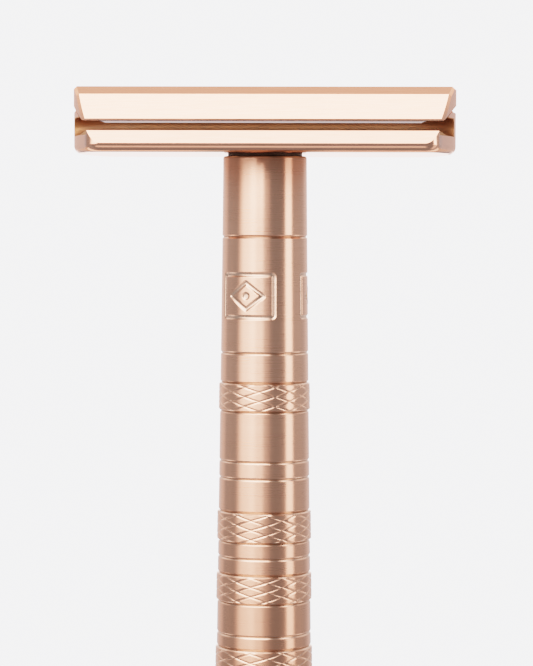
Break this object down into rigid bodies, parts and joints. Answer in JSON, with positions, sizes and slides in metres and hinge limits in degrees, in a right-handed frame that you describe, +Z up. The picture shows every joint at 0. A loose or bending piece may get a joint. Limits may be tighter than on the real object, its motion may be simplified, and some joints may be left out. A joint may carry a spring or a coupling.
{
  "type": "safety razor",
  "caption": "Double-edge safety razor with a faceted cap and guard plate clamping a bent blade, on a slim turned handle with raised lattice bands.",
  "frame": {"origin": "centre of the handle's flat end face, which the razor stands on", "axes": "+Z up the handle to the head, X along the head's length, Y towards its two shaving edges"},
  "size_m": [0.0452, 0.0242, 0.1],
  "materials": {
    "copper_handle": "satin turned copper tone",
    "copper_head": "polished copper tone",
    "steel_insert": "machined",
    "blade_steel": "polished strip",
    "washer": "matt"
  },
  "bodies": {
    "handle": {"handle_body": "copper_handle", "thread_insert": "steel_insert"},
    "base": {"base_plate": "copper_head", "neck_washer": "washer"},
    "cap": {"top_cap": "copper_head", "cap_stud": "steel_insert", "cap_pin_left": "steel_insert", "cap_pin_right": "steel_insert"},
    "blade": {"blade": "blade_steel"}
  },
  "joints": [
    {"name": "head_turn", "type": "hinge", "parent": "handle", "child": "base", "pos_m": [0, 0, 0.0922], "axis": [0, 0, 1], "range_deg": [0, 2880]},
    {"name": "cap_rise", "type": "slide", "parent": "base", "child": "cap", "axis": [0, 0, 1], "range_m": [0, 0.00641]},
    {"name": "blade_rise", "type": "slide", "parent": "base", "child": "blade", "axis": [0, 0, 1], "range_m": [0, 0.00321]}
  ],
  "couplings": [
    {"joint": "cap_rise", "follows": "head_turn", "m_per_rad": 0.00012732},
    {"joint": "blade_rise", "follows": "head_turn", "m_per_rad": 0.000063662}
  ]
}
